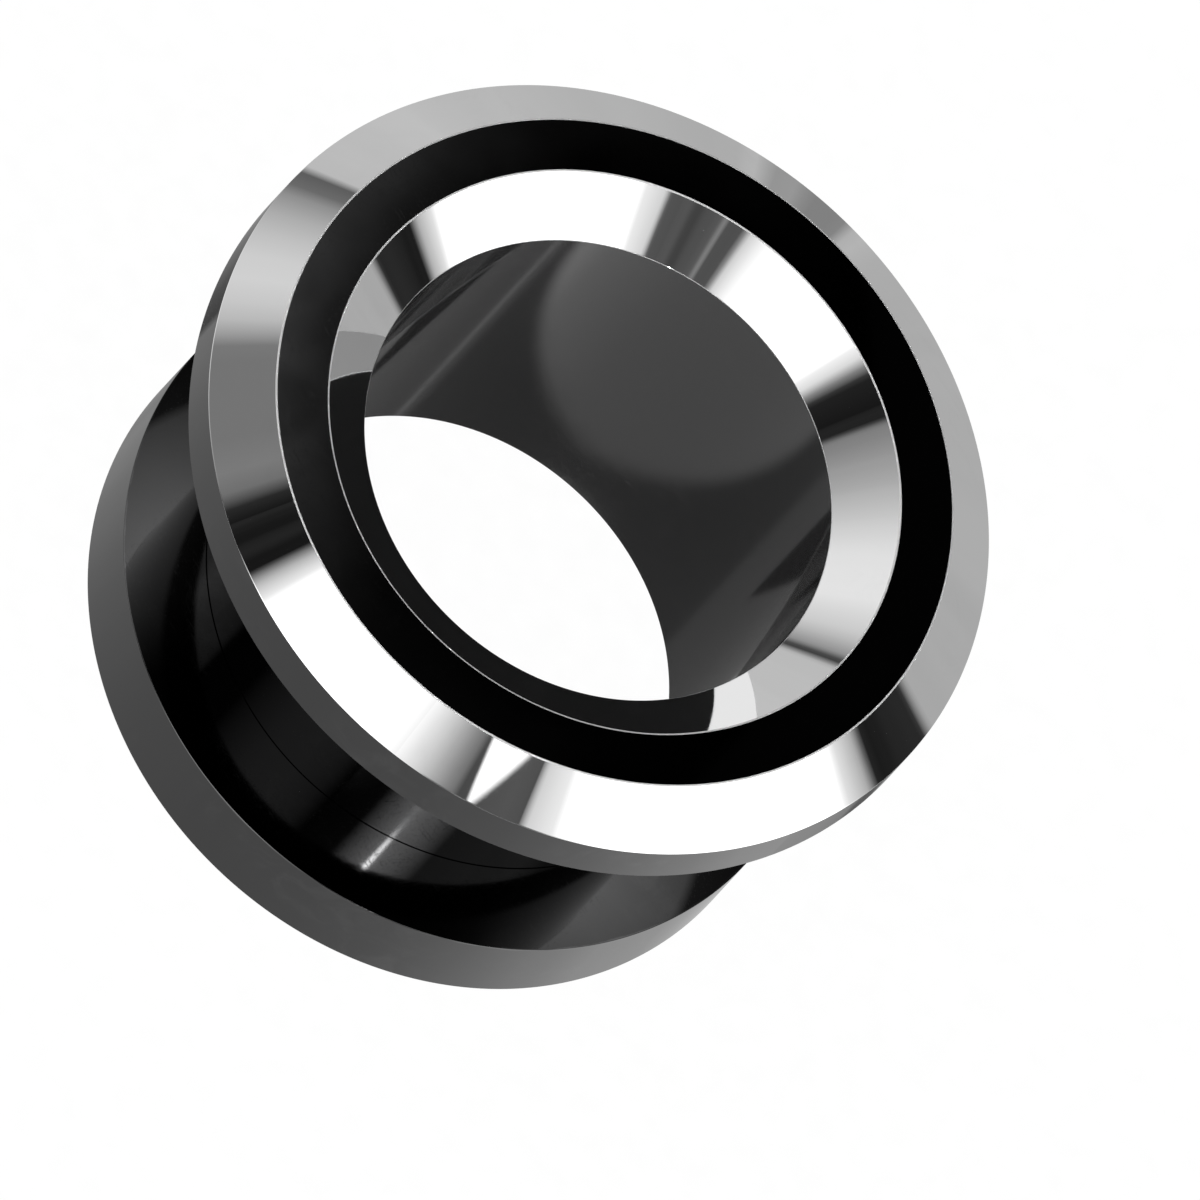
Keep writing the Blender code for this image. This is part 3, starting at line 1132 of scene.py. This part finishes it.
@dataclass(frozen=True)
class SmokeCard(Card):
    """A faint cloud of light over the front, which dulls one side of the black face.

    The outward share runs from the face's inner edge to its outer one.
    """

    centre: tuple[float, float] = (-11.0 * MM, -4.0 * MM)
    radius: float = 11.5 * MM
    radiance: float = 0.40
    haze: float = 0.045
    haze_width: float = 38 * MM
    distance: float = 60 * MM
    face: tuple[float, float] = (8.65 * MM, 10.23 * MM)
    outward: tuple[float, float] = (0.5, 1.5)
    segments: int = 64
    cloud_share: float = 0.6
    wisp_scale: float = 0.35 / MM
    wisp_span: tuple[float, float] = (0.3, 0.7)
    wisp_levels: tuple[float, float] = (0.5, 1.5)

    def build(self, barrel: FlangedBarrel, sight: Vector) -> None:
        """Lays the card where the flat face mirrors it.

        Args:
            barrel: The piece with the face.
            sight: The direction from the tunnel to the camera.
        """
        deselect_all()
        mirrored = Vector((-sight.x, -sight.y, sight.z))
        place = Vector((*self.centre, barrel.front)) + mirrored * self.distance
        bpy.ops.mesh.primitive_circle_add(vertices=self.segments, radius=self.haze_width / 2,
                                          fill_type="NGON", location=place)
        self.light_up(bpy.context.object)

    def glow(self, graph: NodeGraph) -> Socket:
        """A soft round cloud, with wisps in it.

        Args:
            graph: The card's graph.

        Returns:
            The radiance.
        """
        place = graph.place()
        away = graph.length(place)
        cloud = graph.fall_between(away, 0.0, self.radius)
        haze = graph.span(away, self.radius * self.cloud_share, self.haze_width / 2,
                          self.haze, 0.0)
        glow = graph.math("MULTIPLY_ADD", cloud, self.radiance, haze)
        inputs = {0: place, 1: (*self.centre, 0.0)}
        on_face = graph.add("ShaderNodeVectorMath", inputs, operation="ADD").outputs[0]
        share = graph.span(graph.length(on_face), *self.face, *self.outward)
        wisps = graph.noise(place, self.wisp_scale, Detail=5.0, Distortion=1.2)
        wisps = graph.span(wisps, *self.wisp_span, *self.wisp_levels)
        return graph.math("MULTIPLY", graph.math("MULTIPLY", glow, share), wisps)


@dataclass(frozen=True)
class SleeveCard(Card):
    """A lit sleeve under the tunnel, as wide as its bore, which only the bore sees.

    Light that the bore's wall mirrors to the camera comes from one place on the sleeve for each
    place on the wall. So the sleeve is lit by the angle round the axis, in degrees from the
    camera's side, and by the height on the wall where it shows. It has a bright patch, shaped as
    the lower half of an oval, over levels that run round the wall, with a shade at its far side.
    """

    radius: float
    elevation: float
    top: float
    patch: Levels = (
        (146.0, 0.53), (165.0, 0.54), (180.0, 0.57), (195.0, 0.60), (205.0, 0.68), (214.0, 0.75),
        (219.0, 0.93), (223.5, 1.05),
    )
    around: Levels = (
        (120.0, 0.20), (136.8, 0.22), (139.8, 0.115), (200.0, 0.11), (223.6, 0.13), (225.2, 0.24),
        (226.0, 0.28), (227.0, 0.55), (228.2, 0.24), (230.0, 0.21), (240.0, 0.21),
    )
    patch_middle: float = 184.8
    patch_half_width: float = 37.0
    patch_depth: float = 10.0 * MM
    power: float = 1.7
    feather: float = 0.10
    shade: float = 0.88
    shade_start: float = 0.6 * MM
    shade_slope: float = 0.52
    shade_end: float = -3.0 * MM
    shade_feather: float = 0.25 * MM
    segments: int = 180

    @property
    def fall(self) -> float:
        """How far the camera's rays sink as they cross the bore's middle."""
        return 2 * self.radius * math.tan(self.elevation)

    def build(self) -> None:
        """Stands the sleeve under the bore."""
        deselect_all()
        bpy.ops.mesh.primitive_cylinder_add(vertices=self.segments, radius=self.radius,
                                            depth=self.fall,
                                            end_fill_type="NOTHING",
                                            location=(0, 0, -self.fall / 2))
        bpy.ops.object.transform_apply(location=True)
        self.light_up(bpy.context.object)

    def glow(self, graph: NodeGraph) -> Socket:
        """The patch over the levels round it.

        Args:
            graph: The sleeve's graph.

        Returns:
            The radiance.
        """
        x, y, rise = graph.parts(graph.place())
        third = graph.math("DIVIDE", graph.angle_round(x, y), 3.0)
        angle = graph.math("ADD", third, 180.0)
        turn = graph.math("RADIANS", third)
        height = graph.math("MULTIPLY_ADD", graph.math("COSINE", turn), self.fall, rise)

        aside = graph.math("ABSOLUTE", graph.math("SUBTRACT", angle, self.patch_middle))
        down = graph.math("MAXIMUM", graph.math("SUBTRACT", self.top, height), 0.0)
        sizes = ((aside, self.patch_half_width), (down, self.patch_depth))
        powers = [graph.math("POWER", graph.math("DIVIDE", value, size), self.power)
                  for value, size in sizes]
        beyond = graph.ramp_between(graph.math("ADD", *powers), 1 - self.feather, 1 + self.feather)

        lean = graph.math("MULTIPLY_ADD", rise, self.shade_slope, self.shade_start)
        past = graph.math("SUBTRACT", x, lean)
        short = graph.math("SUBTRACT", self.shade_end, x)
        clear = graph.math("LESS_THAN", y, 0.0)
        for outside in (graph.ramp_between(past, -self.shade_feather, self.shade_feather),
                        graph.ramp_between(short, 0.0, self.shade_feather)):
            clear = graph.math("MAXIMUM", clear, outside)
        around = graph.math("MULTIPLY", graph.steps(angle, self.around),
                            graph.mix(clear, 1 - self.shade, 1.0))
        return graph.mix(beyond, graph.steps(angle, self.patch), around)


@dataclass(frozen=True)
class FlangeGlow(Card):
    """The glow under the front flange, which the ring's face and the barrel mirror.

    Outwards pairs a radius with a radiance, and around pairs an angle round the axis, in degrees
    from the camera's side, with a share of it.
    """

    outwards: Levels = (
        (8.0 * MM, 1.78), (8.4 * MM, 1.60), (9.6 * MM, 1.15), (10.2 * MM, 0.93),
        (10.5 * MM, 0.14), (11.8 * MM, 0.08),
    )
    around: Levels = (
        (-180.0, 0.30), (-130.0, 0.40), (-110.0, 0.62), (-100.0, 0.84), (-88.0, 1.0),
        (-76.0, 0.98), (-68.0, 0.86), (-58.0, 0.40), (-50.0, 0.08), (54.0, 0.08), (62.0, 0.18),
        (70.0, 0.43), (80.0, 0.68), (90.0, 0.92), (100.0, 1.04), (112.0, 0.90), (130.0, 0.5),
        (180.0, 0.30),
    )
    gap: float = 0.01 * MM
    segments: int = 128

    def build(self, barrel: FlangedBarrel) -> None:
        """Lays the glow close under the flange, which carries it along.

        Args:
            barrel: The piece with the flange.
        """
        deselect_all()
        bpy.ops.mesh.primitive_circle_add(vertices=self.segments, radius=barrel.flange_radius)
        card = bpy.context.object
        bpy.ops.object.mode_set(mode="EDIT")
        bpy.ops.mesh.select_all(action="SELECT")
        bpy.ops.mesh.extrude_edges_move()
        shrink = barrel.barrel_radius / barrel.flange_radius
        bpy.ops.transform.resize(value=(shrink, shrink, 1.0), center_override=(0, 0, 0))
        bpy.ops.mesh.select_all(action="SELECT")
        bpy.ops.transform.translate(value=(0, 0, barrel.flange_back - self.gap))
        bpy.ops.object.mode_set(mode="OBJECT")
        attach(card, barrel.body)
        self.light_up(card)

    def glow(self, graph: NodeGraph) -> Socket:
        """The radiance by radius, times the share by angle."""
        x, y, _ = graph.parts(graph.place())
        return graph.math("MULTIPLY", graph.steps(graph.hypotenuse(x, y), self.outwards),
                          graph.steps(graph.angle_round(x, y), self.around))


@dataclass(frozen=True)
class LampCard(Card):
    """The lamp's thin core, which shows as a spark on the ring's face and on the barrel.

    Levels pair a height on the card, from the place that the seam mirrors, with a radiance. They
    sink to the lamp's own radiance, sides, away from the core, whose pair gives where the fall
    starts and ends, as shares of the card's width from its middle.
    """

    angle: float = math.radians(20.0)
    half_width: float = 1.0 * MM
    distance: float = 60 * MM
    sides: float = 20.0
    core: tuple[float, float] = (0.1, 0.5)
    levels: Levels = (
        (-0.5 * MM, 18.0), (-0.12 * MM, 40.0), (-0.02 * MM, 110.0), (0.02 * MM, 200.0),
        (0.4 * MM, 180.0), (0.8 * MM, 240.0), (1.5 * MM, 360.0),
    )

    def build(self, ring: BackRing, elevation: float) -> None:
        """Hangs the card where the seam mirrors it twice.

        Args:
            ring: The piece with the seam.
            elevation: The camera's elevation.
        """
        deselect_all()
        bpy.ops.mesh.primitive_grid_add(x_subdivisions=2, y_subdivisions=2, size=1)
        card = bpy.context.object
        level = outward_at(2 * self.angle)
        heading = level * math.cos(elevation) + Vector((0, 0, math.sin(elevation)))
        aside = Vector((-level.y, level.x, 0))
        upward = heading.cross(aside)
        seam = outward_at(self.angle) * ring.barrel_radius + Vector((0, 0, ring.front))
        low, high = self.levels[0][0], self.levels[-1][0]
        for vertex in card.data.vertices:
            across = vertex.co.x * 2 * self.half_width
            up = low + (high - low) * (vertex.co.y + 0.5)
            vertex.co = seam + heading * self.distance + aside * across + upward * up
        self.light_up(card)

    def glow(self, graph: NodeGraph) -> Socket:
        """The levels up the card, softened to its sides.

        Args:
            graph: The card's graph.

        Returns:
            The radiance.
        """
        across, up, _ = graph.parts(graph.add("ShaderNodeUVMap").outputs[0])
        height = graph.span(up, 0.0, 1.0, self.levels[0][0], self.levels[-1][0])
        aside = graph.math("ABSOLUTE", graph.math("SUBTRACT", across, 0.5))
        middle = graph.fall_between(aside, *self.core)
        return graph.mix(middle, self.sides, graph.steps(height, self.levels))


GREY_CARD = MirrorCard("grey_card", levels=(
    (-94.0, 0.66), (-92.6, 0.15), (-90.0, 0.20), (-88.0, 0.38), (-84.0, 0.58), (-80.0, 0.73),
    (-76.0, 0.845), (-72.0, 0.875), (-68.0, 0.79), (-65.0, 0.67), (-62.5, 0.45), (-60.6, 0.26),
    (-58.0, 0.24), (-46.0, 0.24), (-41.0, 0.27), (-38.0, 0.22), (-35.6, 0.03), (-33.6, 0.012),
))

WEDGE_CARD = MirrorCard("wedge_card", wedge=(16.6, 23.1, 17.7, 18.5), levels=(
    (6.0, 1.36), (8.0, 1.07), (10.0, 0.83), (12.0, 0.565), (14.0, 0.34), (15.2, 0.24),
    (16.2, 0.09), (23.0, 0.12), (25.0, 0.11), (25.6, 0.10),
))

INNER_CARD = MirrorCard("inner_card", levels=(
    (148.0, 0.012), (153.4, 0.02), (154.4, 0.05), (156.0, 0.31), (158.0, 0.98), (160.0, 1.23),
    (162.0, 2.0),
))

LEFT_RIM_CARD = MirrorCard("left_rim_card", levels=(
    (-92.0, 0.42), (-86.0, 0.31), (-80.0, 0.275), (-76.0, 0.25), (-72.0, 0.186), (-66.5, 0.16),
    (-65.0, 0.44),
))

RIGHT_RIM_CARD = MirrorCard("right_rim_card", levels=(
    (67.0, 0.76), (70.0, 0.64), (76.0, 0.44), (78.5, 0.36), (80.5, 0.16), (84.5, 0.14),
    (86.5, 0.34), (88.5, 0.44), (92.0, 0.50),
))


@dataclass(frozen=True)
class ViewPoint:
    """The camera, which looks down on the flange with the picture rolled.

    The picture is square and shows no perspective. Its width and the place of the front face's
    centre in it are real sizes.
    """

    elevation: float = math.radians(55.99)
    roll: float = math.radians(42.76)
    distance: float = 0.3
    picture_width: float = 33.566 * MM
    centre_right: float = 0.4155 * MM
    centre_up: float = 4.134 * MM
    clip: tuple[float, float] = (1 * MM, 10.0)

    @property
    def sight(self) -> Vector:
        """The direction from the tunnel to the camera."""
        return Vector((0, -math.cos(self.elevation), math.sin(self.elevation)))

    def build(self, front: float) -> None:
        """Adds the camera.

        Args:
            front: The height of the front face.
        """
        towards = self.sight
        level_up = Vector((0, math.sin(self.elevation), math.cos(self.elevation)))
        level_right = Vector((1, 0, 0))
        right = level_right * math.cos(self.roll) + level_up * math.sin(self.roll)
        up = level_up * math.cos(self.roll) - level_right * math.sin(self.roll)
        place = Vector((0, 0, front)) + towards * self.distance
        place -= right * self.centre_right + up * self.centre_up
        turn = Matrix((right, up, towards)).transposed()
        deselect_all()
        bpy.ops.object.camera_add(location=place, rotation=turn.to_euler())
        camera = bpy.context.object
        camera.name = "studio_camera"
        camera.data.type = "ORTHO"
        camera.data.ortho_scale = self.picture_width
        camera.data.clip_start, camera.data.clip_end = self.clip
        bpy.context.scene.camera = camera


def main() -> None:
    """Builds the tunnel and its studio, and reports each piece."""
    logging.basicConfig(level=logging.INFO, format="%(name)s: %(message)s")
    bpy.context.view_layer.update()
    bpy.context.scene.view_settings.view_transform = "Standard"

    groups = EffectGroup()
    groups.build()
    barrel = FlangedBarrel("flanged_barrel_turned", "barrel", "flanged_barrel")
    ring = BackRing("back_ring_turned", "ring", "back_ring")
    black = Finish(
        name="black_coating",
        colour=grey(0.052, 0.0004),
        worn_colour=grey(0.16, 0.001),
        roughness=0.04,
        smear_roughness=0.03,
        smear_tint=0.10,
        scratch_roughness=0.08,
        edges=(
            (barrel.face_outer_radius, barrel.front),
            (barrel.face_inner_radius, barrel.front),
            (ring.ring_radius, ring.front),
        ),
    ).build(groups)
    bare = Finish(
        name="bare_polished_steel",
        colour=grey(0.72, 0.001),
        worn_colour=grey(0.60, 0.001),
        roughness=0.015,
        smear_roughness=0.01,
        smear_tint=0.15,
        scratch_roughness=0.015,
    ).build(groups)
    cut = Finish(
        name="cut_thread_steel",
        colour=grey(0.70, 0.002),
        worn_colour=grey(0.42),
        roughness=0.10,
        smear_roughness=0.15,
        smear_tint=0.5,
        scratch_roughness=0.10,
        turning_pitch=0.05 * MM,
        turning_depth=0.10 * MICRON,
    ).build(groups)
    bore = Finish(
        name="bore_coating",
        colour=grey(0.020, 0.0002),
        worn_colour=grey(0.030, 0.0003),
        roughness=0.06,
        smear_roughness=0.06,
        smear_tint=0.3,
        scratch_roughness=0.08,
        metallic=0.0,
        ior=1.57,
    ).build(groups)
    worn = Finish(
        name="worn_edge_steel",
        colour=grey(0.72, 0.001),
        worn_colour=grey(0.64, 0.001),
        roughness=0.75,
        smear_roughness=0.10,
        smear_tint=0.20,
        scratch_roughness=0.10,
    ).build(groups)

    built = (barrel.build(black, bare, cut, bore, worn), ring.build(black, cut))
    for piece in built:
        LOG.info("%s: %d faces", piece.name, len(piece.data.polygons))

    Lighting().build()
    Floor().build()
    view = ViewPoint()
    view.build(barrel.front)
    SleeveCard("sleeve_card", barrel.bore_radius, view.elevation, barrel.mouth).build()
    FlangeGlow("flange_glow").build(barrel)
    LampCard("lamp_card").build(ring, view.elevation)
    for card, band in ((GREY_CARD, barrel.outer_bevel), (WEDGE_CARD, barrel.outer_bevel),
                       (INNER_CARD, barrel.inner_bevel), (LEFT_RIM_CARD, barrel.rim),
                       (RIGHT_RIM_CARD, barrel.rim)):
        card.build(*band, view.sight)
    SmokeCard("smoke_card").build(barrel, view.sight)


if __name__ == "__main__":
    main()
